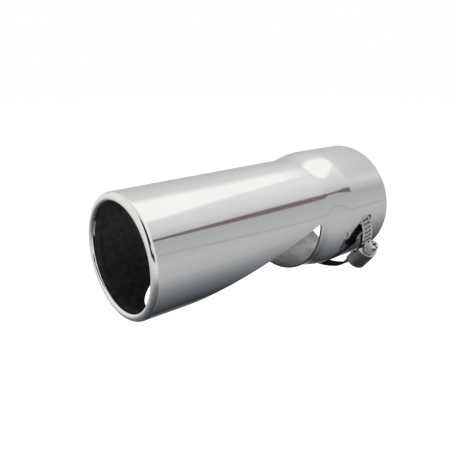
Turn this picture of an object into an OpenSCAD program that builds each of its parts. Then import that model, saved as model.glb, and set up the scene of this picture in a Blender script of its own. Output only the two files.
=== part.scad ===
// Slip-on exhaust tip with a notch for a turned-down tailpipe, held by a worm-drive hose clamp.
// The tube's axis is X. The inlet mouth is at x = 0 and the outlet lies towards -X.
// The notch faces down (-Z), and the clamp's screw is on the near side (-Y).

/* [Outlet] */
// Outer diameter of the tube at the rolled lip
outlet_d = 76.2; // [60:0.1:100]
// Clear diameter inside the rolled lip
opening_d = 64.5; // [46:0.1:86]
// Outer radius of the lip's wide bend, from the tube to its front
lip_bend_r = 4.5; // [3:0.1:5]
// Length of the lip's leg that turns back inside
lip_return = 4; // [2:0.5:10]

/* [Tube] */
// Thickness of the steel sheet
wall = 1.2; // [0.8:0.1:1.6]
// Length from the inlet mouth to the front of the lip
tip_length = 205.3; // [160:0.1:260]
// Outer diameter of the barrel where it meets the shoulder
neck_d = 79.6; // [70:0.1:84]
// Length of the shoulder between barrel and sleeve
shoulder_length = 26; // [16:1:40]

/* [Sleeve] */
// Outer diameter of the sleeve over the tailpipe
sleeve_d = 87.2; // [85:0.1:100]
// Length of the straight sleeve
sleeve_length = 40; // [36:0.5:60]

/* [Notch] */
// Distance from the shoulder's front end to the square cut of the notch
notch_setback = 7; // [2:0.5:20]
// Height of the notch's sharp corner above the tube's axis
notch_rise = 3.2; // [-4:0.1:8]
// Slope of the long cut against the tube's axis
notch_angle = 19.5; // [17:0.5:30]
// Radius of the notch's rounded corner
notch_corner_r = 2; // [1:0.1:4]

/* [Clamp band] */
// Width of the band
band_w = 12; // [9:0.5:13]
// Thickness of the band
band_t = 0.7; // [0.5:0.05:0.8]
// Distance from the inlet mouth to the middle of the band
band_setback = 27; // [22:0.5:30]
// Gap between the band and the sleeve's inner wall
band_gap = 0.2; // [0.1:0.05:0.3]
// Pitch of the slots that the worm drives
slot_pitch = 3; // [2.6:0.1:3.4]
// Width of each slot pressed in the band
slot_w = 1.45; // [1.3:0.05:1.6]
// Length of each slot in the band
slot_l = 7.6; // [6:0.2:8]
// Depth of each slot, which is pressed and not cut through
slot_depth = 0.45; // [0.4:0.05:0.45]
// Lean of each slot, and of the screw with it
slot_lean = 9; // [4:1:12]

/* [Worm screw] */
// Angle of the screw's seat below the horizontal, on the near side
seat_angle = 40; // [36:1:44]
// Distance from the sleeve's outer face to the screw's axis
screw_standoff = 9.5; // [9.4:0.1:11]
// Outer diameter of the worm's thread
thread_d = 8; // [7.4:0.1:8.2]
// Depth of the worm's thread
thread_depth = 0.8; // [0.5:0.1:1]
// How far the thread reaches into the band's slots
thread_bite = 0.35; // [0.2:0.05:0.4]
// Distance across the flats of the screw's head
head_af = 7; // [6:0.1:8]
// Height of the head above its flange
head_h = 5; // [3.5:0.1:7]
// Diameter of the flange under the head
flange_d = 9.4; // [8:0.1:9.6]
// Thickness of the flange
flange_t = 1.2; // [0.8:0.1:2]
// Gap between the flange and the housing
flange_gap = 1.4; // [0.1:0.1:2]
// Length of the long driver slot across the head
drive_l = 6.6; // [4:0.1:6.8]
// Length of the short arm of the driver cross
drive_arm = 4.4; // [3:0.1:5]
// Width of the driver slots
drive_w = 1.1; // [0.8:0.1:1.4]
// Depth of the driver slots
drive_depth = 1.6; // [1:0.1:3]

/* [Clamp housing] */
// Length of the housing along the screw
housing_l = 16.5; // [14:0.5:18]
// Length of the housing's skirt, which holds the band
skirt_l = 9; // [7:0.5:11]
// Height of the housing's top above the screw's axis
housing_top = 6.1; // [5.4:0.1:7]
// Thickness of the housing's sheet
housing_t = 0.8; // [0.7:0.1:1]
// Running gap between the screw and the housing
running_gap = 0.1; // [0.06:0.01:0.1]
// Width of each tab folded under the band
tab_w = 3; // [2:0.1:4]

/* [Hidden] */
$fn = 96;
eps = 0.01;

outlet_r = outlet_d / 2;
opening_r = opening_d / 2;
neck_r = neck_d / 2;
sleeve_r = sleeve_d / 2;
bore_r = sleeve_r - wall;
lip_s = tip_length - lip_bend_r;
mouth_bend_r = outlet_r - opening_r - lip_bend_r;
mouth_s = tip_length - mouth_bend_r;
neck_s = sleeve_length + shoulder_length;
notch_s = neck_s + notch_setback;

// Fit between flat layers of the clamp
layer_gap = 0.1;
screw_r = sleeve_r + screw_standoff;
thread_r = thread_d / 2;
root_r = thread_r - thread_depth;
band_mid_n = screw_r - thread_r + thread_bite - band_t / 2;
layer_step = band_t + layer_gap;
band_side_gap = 0.12;
neck_hole_r = root_r + running_gap;
// The housing's middle lies this far along the band from the middle of its seat
seat_shift = 5;
skirt_low = -7;
pin_r = 1.5;
collar_t = 1.2;
end_gap = 0.1;

// Radius of the shoulder's outer face at u, from 0 at the barrel to 1 at the sleeve
function shoulder_r(u) = neck_r + (sleeve_r - neck_r) * (1 - cos(180 * pow(u, 0.75))) / 2;

// Outer outline of shoulder and sleeve as [radius, distance from the inlet mouth]
shoulder_steps = 14;
function outer_line() = concat(
    [for (i = [0 : shoulder_steps])
        [shoulder_r(i / shoulder_steps), neck_s - shoulder_length * i / shoulder_steps]],
    [[sleeve_r, 0]]);

function inward(points, d) = [for (p = points) [p[0] - d, p[1]]];
function reversed(points) = [for (i = [len(points) - 1 : -1 : 0]) points[i]];

// Outline of the rolled lip as [radius, distance from the inlet mouth], drawn in by inset
lip_steps = 10;
function bend_line(centre, bend_r, from, to) = [for (i = [0 : lip_steps])
    let (a = from + (to - from) * i / lip_steps) centre + bend_r * [cos(a), sin(a)]];
function lip_line(inset) = concat(
    bend_line([outlet_r - lip_bend_r, lip_s], lip_bend_r - inset, 0, 90),
    bend_line([opening_r + mouth_bend_r, mouth_s], mouth_bend_r - inset, 90, 180),
    [[opening_r + inset, mouth_s - lip_return]]);

// Half section of the whole sheet, from the inlet mouth to the end of the rolled lip
module shell_section() {
    polygon(concat(reversed(outer_line()), lip_line(0), reversed(lip_line(wall)),
        inward(outer_line(), wall)));
}

// Side view of the notch as [x, z], with its corner rounded
module notch_outline() {
    corner = [-notch_s - notch_corner_r,
        notch_rise - notch_corner_r * (tan(notch_angle) + 1 / cos(notch_angle))];
    low = -2 * sleeve_r;
    rise = notch_rise - low;
    translate(corner) circle(notch_corner_r);
    polygon([
        corner,
        [-notch_s, corner[1]],
        [-notch_s, low],
        [-notch_s - rise / tan(notch_angle), low],
        corner + notch_corner_r * [-sin(notch_angle), cos(notch_angle)]]);
}

// Windows in the sleeve that let the band pass, as [x, z]
near_window_h = 6.3;
far_window_h = 9.5;
window_top = 0.8;
window_r = 1.5;
window_side = 0.4;
module window_outline(window_h) translate([0, window_top - window_h / 2]) {
    w = band_w + 2 * window_side;
    for (x = [-1, 1], z = [-1, 1])
        translate([x * (w / 2 - window_r), z * (window_h / 2 - window_r)]) circle(window_r);
    square([w - 2 * window_r, window_h], center = true);
    square([w, window_h - 2 * window_r], center = true);
}

module tip_shell() color("gainsboro") difference() {
    rotate([0, -90, 0]) rotate_extrude($fn = 180) shell_section();
    rotate([90, 0, 0]) linear_extrude(3 * sleeve_r, center = true) notch_outline();
    translate([-band_setback, 0, 0]) rotate([90, 0, 0])
        linear_extrude(2 * sleeve_r) window_outline(near_window_h);
    translate([-band_setback, 2 * sleeve_r, 0]) rotate([90, 0, 0])
        linear_extrude(2 * sleeve_r) window_outline(far_window_h);
}

// Path of the band seen from the outlet, as [angle below the near side, radius of its middle].
// It starts as the inner layer under the screw, runs under the sleeve, in through the far
// window, over the top inside the sleeve, out through the near window, and ends as the outer layer.
// A third number is the path's slope at the knot: the path is straight along the seat.
function seat(angle, layer) =
    let (n = band_mid_n - layer * layer_step, lean = angle % 360 - seat_angle)
    [angle, n / cos(lean), n * sin(lean) / pow(cos(lean), 2) * PI / 180];
function out(angle, offset) = [angle, sleeve_r + offset];
inside_r = bore_r - band_gap - band_t / 2;
wall_mid_r = (sleeve_r + bore_r) / 2;
// The band's inner face over the top of the tailpipe is a true circle
grip_r = inside_r - band_t / 2 + 0.03;
path_knots = [
    out(seat_angle - 25.5, 2.6), out(seat_angle - 17, 5),
    seat(seat_angle - 12.5, 1), seat(seat_angle, 1), seat(seat_angle + 7, 1), seat(seat_angle + 14, 1),
    out(65, 5), out(76, 3.6), out(90, 2), out(110, 1.3), out(140, 0.9), out(160, 0.9), out(168, 0.8),
    [173.5, wall_mid_r], [178, inside_r, 0], [360, inside_r, 0], out(362.5, -1), out(366, 0.6),
    out(370, 2.4), out(379, 4.9), out(383, 5.9),
    seat(seat_angle + 347.5, 0), seat(seat_angle + 360, 0), seat(seat_angle + 367, 0)];

// Smooth curve through the knots, after Catmull and Rom
function tangent(i) = len(path_knots[i]) == 3 ? path_knots[i][2]
    : i == 0 || i == len(path_knots) - 1 ? 0
    : (path_knots[i + 1][1] - path_knots[i - 1][1]) / (path_knots[i + 1][0] - path_knots[i - 1][0]);
function knot_before(a, i = 0) =
    i >= len(path_knots) - 2 || path_knots[i + 1][0] > a ? i : knot_before(a, i + 1);
function blend_r(a, i) =
    let (span = path_knots[i + 1][0] - path_knots[i][0], t = (a - path_knots[i][0]) / span)
    (2 * t * t * t - 3 * t * t + 1) * path_knots[i][1]
    + (t * t * t - 2 * t * t + t) * span * tangent(i)
    + (3 * t * t - 2 * t * t * t) * path_knots[i + 1][1]
    + (t * t * t - t * t) * span * tangent(i + 1);
function path_r(a) = blend_r(a, knot_before(a));
function path_point(a) = path_r(a) * [-cos(a), -sin(a)];
function path_dir(a) =
    let (d = path_point(a + 0.5) - path_point(a - 0.5)) d / norm(d);
function band_edge(a, side) =
    let (d = path_dir(a)) path_point(a) + side * band_t / 2 * [-d[1], d[0]];

path_start = path_knots[0][0] + 1;
path_end = path_knots[len(path_knots) - 1][0] - 1;
path_step = 4;
path_angles = concat([for (a = [path_start : path_step : path_end - path_step / 2]) a], [path_end]);

// Angles of the slots, at an even pitch along the band both ways from the housing's middle
slot_first = 357;
slot_last = path_end - 3;
function path_speed(a) = norm(path_point(a + 0.5) - path_point(a - 0.5));
function next_slot(a, way) = a + way * slot_pitch / path_speed(a + way * slot_pitch / path_speed(a) / 2);
function slot_angles(a, way) = a < slot_first || a > slot_last ? []
    : concat([a], slot_angles(next_slot(a, way), way));
seat_middle = seat_angle + 360 - atan(seat_shift / band_mid_n);

module clamp_band() color("silver") difference() {
    translate([-band_setback, 0, 0]) rotate([90, 0, 90])
        linear_extrude(band_w, center = true) polygon(concat(
            [for (a = path_angles) band_edge(a, 1)],
            reversed([for (a = path_angles) band_edge(a, -1)])));
    rotate([0, -90, 0]) cylinder(r = grip_r, h = band_setback + band_w, $fn = 180);
    for (a = concat(slot_angles(seat_middle, 1), slot_angles(next_slot(seat_middle, -1), -1))) {
        p = path_point(a);
        d = path_dir(a);
        translate([-band_setback, p[0], p[1]])
            rotate([atan2(d[1], d[0]), 0, 0]) rotate([0, 0, -slot_lean])
                translate([-slot_l / 2, -slot_w / 2, -band_t / 2 - layer_gap])
                    cube([slot_l, slot_w, slot_depth + layer_gap]);
    }
}

// Places a child with its Z along the screw towards the head, its X away from the sleeve,
// and its origin on the screw's axis at the housing's middle
module on_screw() {
    translate([-band_setback, 0, 0]) rotate([seat_angle, 0, 0]) translate([0, -screw_r, seat_shift])
        rotate([0, -slot_lean, 0]) rotate([0, 0, -90]) children();
}

// Sections of the housing, as [away from the sleeve, along the tube]
band_face = -(thread_r - thread_bite);
roof_low = band_face + layer_gap;
tab_top = band_face - band_t - layer_step - layer_gap;
tab_low = tab_top - housing_t;
// The band crosses the leaning channel, which is wide enough for it at both ends
band_cross = (band_w / 2 * sin(slot_lean) - skirt_low) / cos(slot_lean);
channel_half = band_w / 2 * cos(slot_lean) + band_cross * sin(slot_lean) + band_side_gap;
housing_half = channel_half + housing_t;
dome_centre = housing_top - housing_half;
module dome_outline(half, low) intersection() {
    union() {
        translate([dome_centre, 0]) circle(half);
        translate([low, -half]) square([dome_centre - low, 2 * half]);
    }
    translate([low, -half]) square([2 * half, 2 * half]);
}
module skirt_outline() difference() {
    translate([tab_low, -housing_half]) square([roof_low - tab_low, 2 * housing_half]);
    translate([tab_top, -channel_half]) square([roof_low - tab_top + 1, 2 * channel_half]);
    translate([tab_low - 1, tab_w - housing_half])
        square([tab_top - tab_low + 2, 2 * (housing_half - tab_w)]);
}

module clamp_housing() color("dimgray") on_screw() difference() {
    union() {
        translate([0, 0, -housing_l / 2]) linear_extrude(housing_l) dome_outline(housing_half, roof_low);
        translate([0, 0, skirt_low]) linear_extrude(skirt_l) skirt_outline();
    }
    translate([0, 0, housing_t - housing_l / 2]) linear_extrude(housing_l - housing_t - collar_t)
        dome_outline(channel_half, roof_low - 1);
    translate([0, 0, -housing_l]) cylinder(r = pin_r + running_gap, h = housing_l);
    cylinder(r = neck_hole_r, h = housing_l);
}

// Ridges stand for the worm's thread. They turn in the slots without touching them.
ridge_w = 0.8;
head_crown = 1.5;
head_face_inset = 0.3;
module clamp_screw() color("lightsteelblue") on_screw() {
    shank_low = -housing_l / 2 + housing_t + end_gap;
    thread_top = housing_l / 2 - collar_t - end_gap - ridge_w / 2;
    ridge_pitch = slot_pitch * cos(slot_lean);
    ridge_first = ceil((shank_low + ridge_w / 2) / ridge_pitch);
    ridge_last = floor(thread_top / ridge_pitch);
    flange_low = housing_l / 2 + flange_gap;
    translate([0, 0, -housing_l / 2]) cylinder(r = pin_r, h = housing_t + 2 * end_gap);
    translate([0, 0, shank_low]) cylinder(r = root_r, h = flange_low - shank_low + eps);
    for (i = [ridge_first : ridge_last])
        translate([0, 0, i * ridge_pitch - ridge_w / 2]) cylinder(r = thread_r, h = ridge_w);
    translate([0, 0, flange_low]) cylinder(d = flange_d, h = flange_t);
    translate([0, 0, flange_low + flange_t - eps]) difference() {
        intersection() {
            cylinder(d = head_af / cos(30), h = head_h + eps, $fn = 6);
            rotate_extrude() polygon([
                [0, 0], [head_af, 0], [head_af, head_h - head_crown],
                [head_af / 2 - head_face_inset, head_h + eps], [0, head_h + eps]]);
        }
        for (arm = [[drive_l, drive_w], [drive_w, drive_arm]])
            translate([-arm[0] / 2, -arm[1] / 2, head_h - drive_depth])
                cube([arm[0], arm[1], drive_depth + 1]);
    }
}

tip_shell();
clamp_band();
clamp_housing();
clamp_screw();
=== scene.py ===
"""Looks of the clamp-on exhaust tip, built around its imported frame.

The tube's axis is X, its inlet mouth is at x = 0 and its outlet lies towards -X. S is the distance from the mouth.
"""

import math  # noqa: E402

import bmesh  # noqa: E402
import bpy  # noqa: E402
import numpy as np  # noqa: E402
from mathutils import Matrix, Vector  # noqa: E402


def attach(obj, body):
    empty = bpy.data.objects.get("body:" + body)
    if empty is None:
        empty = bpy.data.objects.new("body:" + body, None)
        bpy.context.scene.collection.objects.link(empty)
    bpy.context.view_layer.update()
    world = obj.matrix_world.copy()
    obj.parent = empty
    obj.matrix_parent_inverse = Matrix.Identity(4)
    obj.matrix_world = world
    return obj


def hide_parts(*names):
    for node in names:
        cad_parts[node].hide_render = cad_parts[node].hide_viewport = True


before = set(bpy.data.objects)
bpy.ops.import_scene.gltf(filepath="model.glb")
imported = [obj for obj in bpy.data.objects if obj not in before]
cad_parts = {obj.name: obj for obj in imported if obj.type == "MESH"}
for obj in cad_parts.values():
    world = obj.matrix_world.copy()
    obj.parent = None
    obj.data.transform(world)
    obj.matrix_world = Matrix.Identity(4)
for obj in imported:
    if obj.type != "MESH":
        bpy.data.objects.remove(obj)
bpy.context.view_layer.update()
MM = 0.001

# Camera
FOCAL_PX = 491.58
IMAGE_PX = 455
SENSOR_MM = 36.0
CAMERA_AT = (-0.3282, -0.2361, 0.1017)
LOOK = Vector((0.62501, 0.71807, -0.30616)).normalized()

camera_data = bpy.data.cameras.new("camera")
camera_data.sensor_width = SENSOR_MM
camera_data.lens = SENSOR_MM * FOCAL_PX / IMAGE_PX
camera_data.clip_start = 0.01
camera_data.clip_end = 20
camera = bpy.data.objects.new("camera", camera_data)
bpy.context.scene.collection.objects.link(camera)
camera.location = CAMERA_AT
camera.rotation_mode = "QUATERNION"
camera.rotation_quaternion = LOOK.to_track_quat("-Z", "Y")
bpy.context.scene.camera = camera
bpy.context.scene.view_settings.view_transform = "Standard"

# Sizes in millimetres, as in the part's source. Only the lip's bends, opening and front differ a little from it.
OUTLET_R = 38.1
OPENING_R = 32.7
LIP_BEND_R = 3.5
MOUTH_BEND_R = OUTLET_R - OPENING_R - LIP_BEND_R
LIP_RETURN = 4.0
BARE_LEG = 0.8  # length of the lip's leg that the painted shade inside leaves bare
WALL = 1.2
LENGTH = 205.1
LIP_S = LENGTH - LIP_BEND_R
MOUTH_S = LENGTH - MOUTH_BEND_R
CREST_R = OUTLET_R - LIP_BEND_R
NECK_R = 39.8
SHOULDER_L = 26.0
SLEEVE_R = 43.6
NECK_S = 66.0
NOTCH_S = 73.0
NOTCH_RISE = 3.2
NOTCH_SLOPE = math.radians(19.5)
NOTCH_R = 2.0
BAND_S = 27.0
WINDOW_W, WINDOW_R, WINDOW_TOP = 12.8, 1.5, 0.8
NEAR_WINDOW_H, FAR_WINDOW_H = 6.3, 9.5


def shoulder_r(u):
    return NECK_R + (SLEEVE_R - NECK_R) * (1 - np.cos(np.pi * np.power(u, 0.75))) / 2


def body_r(s):
    """Radius of the outer face of barrel, shoulder and sleeve at distance s."""
    s = np.asarray(s, float)
    u = np.clip((NECK_S - s) / SHOULDER_L, 0, 1)
    barrel = NECK_R + (OUTLET_R - NECK_R) * (s - NECK_S) / (LIP_S - NECK_S)
    return np.where(s > NECK_S, barrel, shoulder_r(u))


def body_slope(s, step=0.05):
    return (body_r(np.asarray(s) + step) - body_r(np.asarray(s) - step)) / (2 * step)


# Sheet of the tube as a ring section
# The fourth family is the lip's inner leg, which takes the painted shade of the inside
OUTER, INNER, RIM, SHADE_PAINTED = 0, 1, 2, 3
AROUND = 320
REACH = 20


def section():
    """Rows of the sheet's section as (radius, s, family), where family is that of the strip that follows the row."""
    body = np.concatenate([
        np.linspace(0, NECK_S - SHOULDER_L, 6)[:-1],
        NECK_S - SHOULDER_L * np.linspace(1, 0, 52)[:-1],
        np.linspace(NECK_S, LIP_S, 14)])
    turn = np.radians(np.linspace(0, 90, 15))
    rows = [(float(body_r(s)), float(s), OUTER) for s in body[:-1]]

    def bend(inset, family):
        wide, tight = LIP_BEND_R - inset, MOUTH_BEND_R - inset
        first = [(CREST_R + wide * math.cos(a), LIP_S + wide * math.sin(a), family) for a in turn]
        second = [(CREST_R - tight * math.sin(a), MOUTH_S + tight * math.cos(a), family) for a in turn[1:]]
        end = [(OPENING_R + inset, MOUTH_S - LIP_RETURN, RIM if inset == 0 else family)]
        if inset == 0:
            end.insert(0, (OPENING_R, MOUTH_S - BARE_LEG, SHADE_PAINTED))
        return first + second + end

    rows += bend(0, OUTER)
    back = bend(WALL, INNER)[::-1]
    rows += back[:-1]
    rows += [(float(body_r(s)) - WALL, float(s), INNER) for s in body[::-1]]
    rows[-1] = (rows[-1][0], rows[-1][1], RIM)
    return rows


def sheet_normal(p, family):
    """Normal of the smooth sheet at a point of family OUTER or INNER, in millimetres."""
    s, rho = -p[0], math.hypot(p[1], p[2])
    if rho > CREST_R:
        n_r, n_s = rho - CREST_R, s - LIP_S
        if s <= LIP_S + 1e-6:
            n_r, n_s = 1.0, -float(body_slope(s)) if s < LIP_S - 0.1 else (NECK_R - OUTLET_R) / (LIP_S - NECK_S)
    else:
        n_r, n_s = rho - CREST_R, s - MOUTH_S
        if s <= MOUTH_S + 1e-6:
            n_r, n_s = -1.0, 0.0
    length = math.hypot(n_r, n_s) or 1.0
    n_r, n_s = n_r / length, n_s / length
    if family == INNER:
        n_r, n_s = -n_r, -n_s
    return (-n_s, n_r * p[1] / rho, n_r * p[2] / rho)


def convex_cuts(outline):
    """Half-planes (point, outward normal) in the side view for a convex outline of (x, z) points, counter-clockwise."""
    cuts = []
    for a, b in zip(outline, outline[1:] + outline[:1]):
        d = (b[0] - a[0], b[1] - a[1])
        if math.hypot(*d) > 1e-6:
            cuts.append((a, (d[1], -d[0])))
    return cuts


def cut_out(bm, outline, side=0):
    """Removes what lies inside an outline of the side view, on one side of the tube or on both."""
    low_x, high_x = min(p[0] for p in outline) - REACH, max(p[0] for p in outline) + REACH
    low_z, high_z = min(p[1] for p in outline) - REACH, max(p[1] for p in outline) + REACH
    inside = []
    for f in bm.faces:
        c = f.calc_center_median()
        if low_x < c.x < high_x and low_z < c.z < high_z and c.y * side >= 0:
            inside.append(f)
    for (x, z), (nx, nz) in convex_cuts(outline):
        edges = {e for f in inside for e in f.edges}
        verts = {v for f in inside for v in f.verts}
        cut = bmesh.ops.bisect_plane(bm, geom=list(verts) + list(edges) + inside, dist=1e-5,
                                     plane_co=(x, 0, z), plane_no=(nx, 0, nz))
        faces = [g for g in cut["geom"] if isinstance(g, bmesh.types.BMFace)]
        centres = [f.calc_center_median() for f in faces]
        inside = [f for f, c in zip(faces, centres) if (c.x - x) * nx + (c.z - z) * nz < 0]
    bmesh.ops.delete(bm, geom=inside, context="FACES")


def notch_outline():
    a, r = NOTCH_SLOPE, NOTCH_R
    cx, cz = -NOTCH_S - r, NOTCH_RISE - r * (math.tan(a) + 1 / math.cos(a))
    low = -60.0
    arc = [(cx + r * math.cos(t), cz + r * math.sin(t)) for t in np.linspace(0, math.pi / 2 + a, 12)]
    far = arc[-1][0] - (arc[-1][1] - low) / math.tan(a)
    return [(far, low), (-NOTCH_S, low)] + arc


def window_outline(h):
    w, r = WINDOW_W, WINDOW_R
    points = []
    for cx, cz, start in ((1, 1, 0), (-1, 1, 90), (-1, -1, 180), (1, -1, 270)):
        for t in np.radians(np.linspace(start, start + 90, 7)):
            points.append((-BAND_S + cx * (w / 2 - r) + r * math.cos(t),
                           WINDOW_TOP - h / 2 + cz * (h / 2 - r) + r * math.sin(t)))
    return points


def ring_mesh(rows, around, closed=True):
    """Vertices and faces of a closed section turned round X, with a family for each face."""
    angles = np.linspace(0, 2 * np.pi, around, endpoint=False)
    verts = [(-s, -r * math.cos(a), r * math.sin(a)) for r, s, _ in rows for a in angles]
    faces, families = [], []
    count = len(rows)
    for i in range(count if closed else count - 1):
        j = (i + 1) % count
        for k in range(around):
            m = (k + 1) % around
            faces.append((i * around + k, j * around + k, j * around + m, i * around + m))
            families.append(rows[i][2])
    return verts, faces, families


def link(name, mesh):
    obj = bpy.data.objects.new(name, mesh)
    bpy.context.scene.collection.objects.link(obj)
    return obj


def shell_piece():
    verts, faces, families = ring_mesh(section(), AROUND)
    bm = bmesh.new()
    made = [bm.verts.new(v) for v in verts]
    family = bm.faces.layers.int.new("family")
    for f, kind in zip(faces, families):
        bm.faces.new([made[i] for i in f])[family] = kind
    bmesh.ops.recalc_face_normals(bm, faces=bm.faces)
    cut_out(bm, notch_outline())
    cut_out(bm, window_outline(FAR_WINDOW_H), 1)
    cut_out(bm, window_outline(NEAR_WINDOW_H), -1)
    open_edges = [e for e in bm.edges if e.is_boundary]
    loops = edge_loops(open_edges)
    for near, far in paired(loops):
        out = bmesh.ops.bridge_loops(bm, edges=near + far)
        for f in out["faces"]:
            f[family] = RIM
    bmesh.ops.delete(bm, geom=[v for v in bm.verts if not v.link_faces], context="VERTS")
    bmesh.ops.recalc_face_normals(bm, faces=bm.faces)
    mesh = bpy.data.meshes.new("tip_skin")
    bm.to_mesh(mesh)
    bm.free()
    kinds = np.zeros(len(mesh.polygons), int)
    mesh.attributes["family"].data.foreach_get("value", kinds)
    normals = []
    for poly, kind in zip(mesh.polygons, kinds):
        poly.use_smooth = True
        poly.material_index = 0
        if kind == RIM:
            poly.material_index = 2
        elif kind in (INNER, SHADE_PAINTED):
            poly.material_index = 1
        for i in poly.vertices:
            co = mesh.vertices[i].co
            normals.append(tuple(poly.normal) if kind == RIM else sheet_normal(co, kind))
    mesh.transform(Matrix.Scale(MM, 4))
    mesh.normals_split_custom_set(normals)
    return link("tip_skin", mesh)


def edge_loops(edges):
    """Boundary edges sorted into closed loops."""
    left, loops = set(edges), []
    while left:
        e = left.pop()
        loop, grow = [e], list(e.verts)
        while grow:
            v = grow.pop()
            for n in v.link_edges:
                if n in left:
                    left.discard(n)
                    loop.append(n)
                    grow.append(n.other_vert(v))
        loops.append(loop)
    return loops


def paired(loops):
    """Each loop of the outer face with the loop of the inner face that lies nearest."""
    def centre(loop):
        return sum((e.verts[0].co + e.verts[1].co for e in loop), Vector()) / (2 * len(loop))
    left, pairs = list(loops), []
    while len(left) > 1:
        a = left.pop()
        b = min(left, key=lambda o: (centre(o) - centre(a)).length)
        left.remove(b)
        pairs.append((a, b))
    return pairs


# Materials
SHADE_START, SHADE_FULL = 112.0, 150.0  # distances in mm between which the painted shade inside darkens
SCREW_AXIS = (-0.15643, -0.63487, 0.75661)
PAINTED_SHADE = (0.012, 0.011, 0.011)
PAINTED_SHADE_ROUGHNESS = 0.7


def new_material(name):
    material = bpy.data.materials.new(name)
    material.use_nodes = True
    nodes = material.node_tree.nodes
    return material, nodes, material.node_tree.links, nodes["Principled BSDF"]


def maths(nodes, links, operation, a, b=None):
    """Result of a Math node; a and b are numbers or sockets."""
    made = nodes.new("ShaderNodeMath")
    made.operation = operation
    for socket, value in zip(made.inputs, (a, b)):
        if isinstance(value, (int, float)):
            socket.default_value = value
        elif value is not None:
            links.new(value, socket)
    return made.outputs[0]


def coordinate(nodes, kind):
    return nodes.new("ShaderNodeTexCoord").outputs[kind]


def split_xyz(nodes, links, vector):
    made = nodes.new("ShaderNodeSeparateXYZ")
    links.new(vector, made.inputs["Vector"])
    return made.outputs["X"], made.outputs["Y"], made.outputs["Z"]


def dot(nodes, links, a, b):
    """Dot product of two vectors; each is a tuple or a socket."""
    made = nodes.new("ShaderNodeVectorMath")
    made.operation = "DOT_PRODUCT"
    for socket, value in zip(made.inputs, (a, b)):
        if isinstance(value, tuple):
            socket.default_value = value
        else:
            links.new(value, socket)
    return made.outputs["Value"]


def noise(nodes, links, scale, detail=3.0, stretch=(1, 1, 1)):
    mapping = nodes.new("ShaderNodeMapping")
    mapping.inputs["Scale"].default_value = stretch
    texture = nodes.new("ShaderNodeTexNoise")
    texture.inputs["Scale"].default_value = scale
    texture.inputs["Detail"].default_value = detail
    links.new(coordinate(nodes, "Object"), mapping.inputs["Vector"])
    links.new(mapping.outputs["Vector"], texture.inputs["Vector"])
    return texture.outputs["Fac"]


def ramp(nodes, links, value, stops):
    made = nodes.new("ShaderNodeValToRGB")
    elements = made.color_ramp.elements
    while len(elements) < len(stops):
        elements.new(1.0)
    for element, (at, colour) in zip(elements, stops):
        element.position = at
        element.color = (*colour, 1)
    links.new(value, made.inputs["Fac"])
    return made.outputs["Color"]


def grey(v):
    return (v, v, v)


def mixed(nodes, links, factor, a, b):
    """Colour that goes from a to b with factor; each is a colour or a socket."""
    made = nodes.new("ShaderNodeMix")
    made.data_type = "RGBA"
    links.new(factor, made.inputs[0])
    for socket, value in ((made.inputs[6], a), (made.inputs[7], b)):
        if isinstance(value, tuple):
            socket.default_value = (*value, 1)
        else:
            links.new(value, socket)
    return made.outputs[2]


def fade(nodes, links, value, low, high):
    made = nodes.new("ShaderNodeMapRange")
    made.interpolation_type = "SMOOTHSTEP"
    made.inputs["From Min"].default_value = low
    made.inputs["From Max"].default_value = high
    links.new(value, made.inputs["Value"])
    return made.outputs["Result"]


def underside(nodes, links):
    """1 where the band gets painted shade: on low parts and on faces that look down, at the axis or at the outlet."""
    normal, place = coordinate(nodes, "Normal"), coordinate(nodes, "Object")
    normal_x, _, normal_z = split_xyz(nodes, links, normal)
    across = nodes.new("ShaderNodeVectorMath")
    across.operation = "MULTIPLY"
    across.inputs[1].default_value = (0, 1, 1)
    links.new(place, across.inputs[0])
    low_face = fade(nodes, links, normal_z, -0.62, -0.8)
    inner_face = fade(nodes, links, dot(nodes, links, across.outputs[0], normal), 0.004, -0.012)
    outlet_face = fade(nodes, links, normal_x, -0.6, -0.8)
    low_place = fade(nodes, links, split_xyz(nodes, links, place)[2], -0.032, -0.039)
    total = low_face
    for other in (inner_face, outlet_face, low_place):
        total = maths(nodes, links, "MAXIMUM", total, other)
    return total


def faces_head(nodes, links):
    """1 on faces that look towards the screw's head, which get a painted highlight, and 0 elsewhere."""
    return fade(nodes, links, dot(nodes, links, coordinate(nodes, "Normal"), SCREW_AXIS), 0.85, 0.95)


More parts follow.
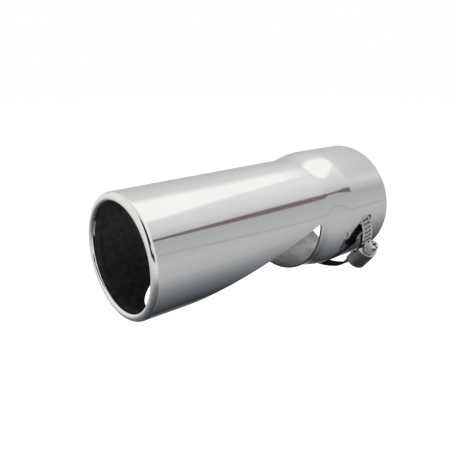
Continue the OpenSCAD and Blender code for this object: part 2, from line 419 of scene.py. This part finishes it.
def metal(name, pale, dark, rough, scale, stretch=(1, 1, 1), bump=0.0, hollow_shade=None, shade_below=False,
          painted_highlight=None):
    """Metal with grain in colour and roughness. Its (reach, low, high) tuple sets painted shade in grooves and recesses
    from ambient occlusion.
    """
    material, nodes, links, shader = new_material(name)
    grain = noise(nodes, links, scale, 4.0, stretch)
    colour = ramp(nodes, links, grain, [(0.35, dark), (0.65, pale)])
    roughness = ramp(nodes, links, grain, [(0.3, grey(rough[0])), (0.7, grey(rough[1]))])
    unshaded = 1.0
    if hollow_shade:
        reach, low, high = hollow_shade
        # Painted shade in grooves and recesses, from ambient occlusion
        open_to = nodes.new("ShaderNodeAmbientOcclusion")
        open_to.samples = 12
        open_to.only_local = True
        open_to.inputs["Distance"].default_value = reach
        unshaded = fade(nodes, links, open_to.outputs["AO"], low, high)
        colour = mixed(nodes, links, unshaded, PAINTED_SHADE, colour)
    if painted_highlight:
        # Painted highlight on the faces towards the screw's head
        colour = mixed(nodes, links, faces_head(nodes, links), colour, painted_highlight)
    if shade_below:
        # Painted shade on the band's low, downward and inner faces
        shaded_below = underside(nodes, links)
        colour = mixed(nodes, links, shaded_below, colour, PAINTED_SHADE)
        unshaded = maths(nodes, links, "MULTIPLY", unshaded, maths(nodes, links, "SUBTRACT", 1.0, shaded_below))
    # The painted shade is rough and no metal
    shader.inputs["Metallic"].default_value = 1.0
    shader.inputs["Specular IOR Level"].default_value = 0.1
    if unshaded != 1.0:
        links.new(unshaded, shader.inputs["Metallic"])
        roughness = mixed(nodes, links, unshaded, grey(PAINTED_SHADE_ROUGHNESS), roughness)
    links.new(colour, shader.inputs["Base Color"])
    links.new(roughness, shader.inputs["Roughness"])
    if bump:
        bumped = nodes.new("ShaderNodeBump")
        bumped.inputs["Strength"].default_value = bump
        bumped.inputs["Distance"].default_value = 0.0001
        links.new(grain, bumped.inputs["Height"])
        links.new(bumped.outputs["Normal"], shader.inputs["Normal"])
    return material


def inside_metal():
    """Mottled raw steel that turns into near-black painted shade towards the outlet."""
    material, nodes, links, shader = new_material("raw_steel_and_painted_shade")
    cloud = noise(nodes, links, 45, 5.0)
    fine = noise(nodes, links, 260, 3.0)
    raw = ramp(nodes, links, cloud, [(0.35, grey(0.26)), (0.52, (0.4, 0.395, 0.39)), (0.66, grey(0.66))])
    x = split_xyz(nodes, links, coordinate(nodes, "Object"))[0]
    # Painted shade: near black, standing in for the dark inside of the barrel towards the outlet
    painted_dark = ramp(nodes, links, fine, [(0.35, (0.012, 0.012, 0.013)), (0.65, (0.03, 0.03, 0.033))])
    at = fade(nodes, links, x, -SHADE_FULL * MM, -SHADE_START * MM)
    links.new(mixed(nodes, links, at, painted_dark, raw), shader.inputs["Base Color"])
    links.new(ramp(nodes, links, cloud, [(0.3, grey(0.4)), (0.7, grey(0.65))]), shader.inputs["Roughness"])
    links.new(at, shader.inputs["Metallic"])
    return material


polished = metal("polished_steel", (0.97, 0.97, 0.97), (0.93, 0.93, 0.935), (0.05, 0.09), 60, (0.3, 1, 1))
inside_steel_and_shade = inside_metal()
cut_edge = metal("cut_edge", (0.1, 0.098, 0.095), (0.05, 0.05, 0.05), (0.3, 0.5), 300)
band_steel = metal("band_steel", (0.8, 0.8, 0.8), (0.66, 0.66, 0.665), (0.12, 0.22), 200, (4, 0.4, 0.4),
                   hollow_shade=(0.001, 0.82, 0.98), shade_below=True)
housing_steel = metal("housing_steel", (0.36, 0.37, 0.39), (0.27, 0.275, 0.29), (0.38, 0.5), 250, bump=0.15,
                      hollow_shade=(0.0006, 0.35, 0.75), painted_highlight=(0.8, 0.8, 0.81))
screw_steel = metal("screw_steel", (0.86, 0.86, 0.86), (0.7, 0.7, 0.71), (0.12, 0.25), 300,
                    hollow_shade=(0.0014, 0.5, 0.85))

shell = shell_piece()
for m in (polished, inside_steel_and_shade, cut_edge):
    shell.data.materials.append(m)
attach(shell, "root")
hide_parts("tip_shell")

for name, material in (("clamp_band", band_steel), ("clamp_housing", housing_steel), ("clamp_screw", screw_steel)):
    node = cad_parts[name]
    node.data.materials.clear()
    node.data.materials.append(material)

# Floor, well below the part, which its pipe holds in the air
FLOOR_Z = -0.22
floor_mesh = bpy.data.meshes.new("floor")
bm = bmesh.new()
bmesh.ops.create_circle(bm, cap_ends=True, segments=96, radius=6)
bm.to_mesh(floor_mesh)
bm.free()
floor = link("floor", floor_mesh)
floor.location = (0, 0, FLOOR_Z)
floor.visible_glossy = False
material, nodes, links, shader = new_material("floor_paint")
speckle = noise(nodes, links, 40)
links.new(ramp(nodes, links, speckle, [(0.3, grey(0.9)), (0.7, grey(0.93))]), shader.inputs["Base Color"])
shader.inputs["Roughness"].default_value = 0.9
shader.inputs["Emission Color"].default_value = (1, 1, 1, 1)
shader.inputs["Emission Strength"].default_value = 0.5
floor.data.materials.append(material)

# Studio light as a world that changes with the angle round the tube's axis, from the far side over the top to below.
# Each stop is (degrees or height, grey level, warmth).
SKY = [
    (-180, 200, 0), (-150, 195, 0), (-128, 100, 0), (-112, 50, -3), (-99, 70, -4), (-73, 110, -4), (-57, 135, -3),
    (-31, 175, 0), (-9, 185, 0), (30, 170, -1), (52, 210, 0), (80, 225, 0), (112, 220, 1), (166, 190, 0), (180, 195, 0)]
FRONT = [(-1, 60, -3), (-0.6, 125, -2), (-0.4, 190, 0), (-0.25, 210, 1), (0, 225, 3), (0.5, 230, 4), (1, 220, 2)]
BAND_TONE, SEAM_TONE, STRIP_TONE = (0.95, 0.945, 0.92), (0.25, 0.25, 0.26), (0.17, 0.13, 0.14)
SCREEN_TONE, SPOT_TONE = (0.012, 0.022, 0.045), (0.7, 0.85, 1.0)
STRIP_DEGREES = 36.0
SCREEN_AT = (-0.654, -0.756)  # level direction of the screen from the part
SPOT_HEIGHT = 0.31
PLAIN = 0.6  # light on rough surfaces


def linear(v):
    v = v / 255
    return v / 12.92 if v <= 0.04045 else ((v + 0.055) / 1.055) ** 2.4


world = bpy.data.worlds.new("studio")
bpy.context.scene.world = world
world.use_nodes = True
nodes, links = world.node_tree.nodes, world.node_tree.links
background = nodes["Background"]
along, sideways, up = split_xyz(nodes, links, coordinate(nodes, "Generated"))


def calc(operation, a, b=None):
    return maths(nodes, links, operation, a, b)


def times(a, b):
    return calc("MULTIPLY", a, b)


def steps(value, low, high):
    return fade(nodes, links, value, low, high)


def over(factor, top, below):
    return mixed(nodes, links, factor, below, top)


def tones(value, stops, low, high):
    """Grey levels of the stops, which lie between low and high, for a value from 0 to 1."""
    return ramp(nodes, links, value, [
        ((at - low) / (high - low), (linear(level + warmth), linear(level), linear(level - warmth)))
        for at, level, warmth in stops])


angle = calc("ARCTAN2", up, times(sideways, -1))
degrees = times(angle, 180 / math.pi)
studio = tones(calc("ADD", calc("DIVIDE", angle, 2 * math.pi), 0.5), SKY, -180, 180)
studio = over(times(steps(along, 0.74, 0.84), steps(degrees, 48, 70)), grey(0.55), studio)
# Bright band over the top, whose lower edge climbs with the direction along the tube
edge = calc("ADD", times(along, 95), 22.0)
band = times(steps(calc("SUBTRACT", degrees, edge), -3, 5), steps(degrees, 124, 106))
studio = over(times(band, steps(along, 0.76, 0.7)), BAND_TONE, studio)
# Thin grey seam near the horizon
seam_at = calc("MAXIMUM", calc("SUBTRACT", 39.6, times(along, 60)), -4.0)
seam = steps(calc("ABSOLUTE", calc("SUBTRACT", degrees, seam_at)), 2.2, 0.8)
studio = over(times(times(seam, steps(along, 0.3, 0.45)), 0.35), SEAM_TONE, studio)
# Brown edge of the light tent, which widens and then ends
half = calc("MINIMUM", calc("MAXIMUM", calc("SUBTRACT", times(along, 14), 4.9), 1.8), 4.6)
strip = steps(calc("DIVIDE", calc("ABSOLUTE", calc("SUBTRACT", degrees, STRIP_DEGREES)), half), 1.25, 0.75)
studio = over(times(times(strip, steps(along, 0.8, 0.76)), steps(along, 0.2, 0.35)), STRIP_TONE, studio)
# In front of the outlet the studio is cream above and darker below
front = tones(calc("DIVIDE", calc("ADD", up, 1), 2), FRONT, -1, 1)
studio = over(steps(along, 0.3, -0.1), front, studio)
# Dark blue screen with a small lamp, which gives the rounded lip its glint
aside = calc("SUBTRACT", times(along, -SCREEN_AT[1]), times(sideways, -SCREEN_AT[0]))
ahead = steps(calc("ADD", times(along, SCREEN_AT[0]), times(sideways, SCREEN_AT[1])), 0.0, 0.1)
reach = calc("SUBTRACT", 0.45, times(up, 0.33))
screen = steps(calc("DIVIDE", calc("ABSOLUTE", calc("ADD", aside, 0.15)), reach), 1.2, 0.8)
screen = times(times(screen, ahead), times(steps(up, -0.08, 0.06), steps(up, 0.95, 0.85)))
studio = over(screen, SCREEN_TONE, studio)
rise = calc("SUBTRACT", up, SPOT_HEIGHT)
spot = steps(calc("ADD", times(aside, aside), times(rise, rise)), 0.02, 0.006)
studio = over(times(spot, ahead), SPOT_TONE, studio)

seen = nodes.new("ShaderNodeLightPath")
mirrored = calc("MAXIMUM", seen.outputs["Is Glossy Ray"], seen.outputs["Is Transmission Ray"])
lit = over(mirrored, studio, grey(PLAIN))
links.new(over(seen.outputs["Is Camera Ray"], grey(1.0), lit), background.inputs["Color"])
background.inputs["Strength"].default_value = 1.0

lamp_data = bpy.data.lights.new("soft_top", "AREA")
lamp_data.energy = 9
lamp_data.size = 1.2
lamp = bpy.data.objects.new("soft_top", lamp_data)
bpy.context.scene.collection.objects.link(lamp)
lamp.location = (-0.2, -0.3, 1.2)
lamp.rotation_mode = "QUATERNION"
lamp.rotation_quaternion = (Vector((-0.1, 0, 0)) - lamp.location).to_track_quat("-Z", "Y")
lamp.visible_glossy = False
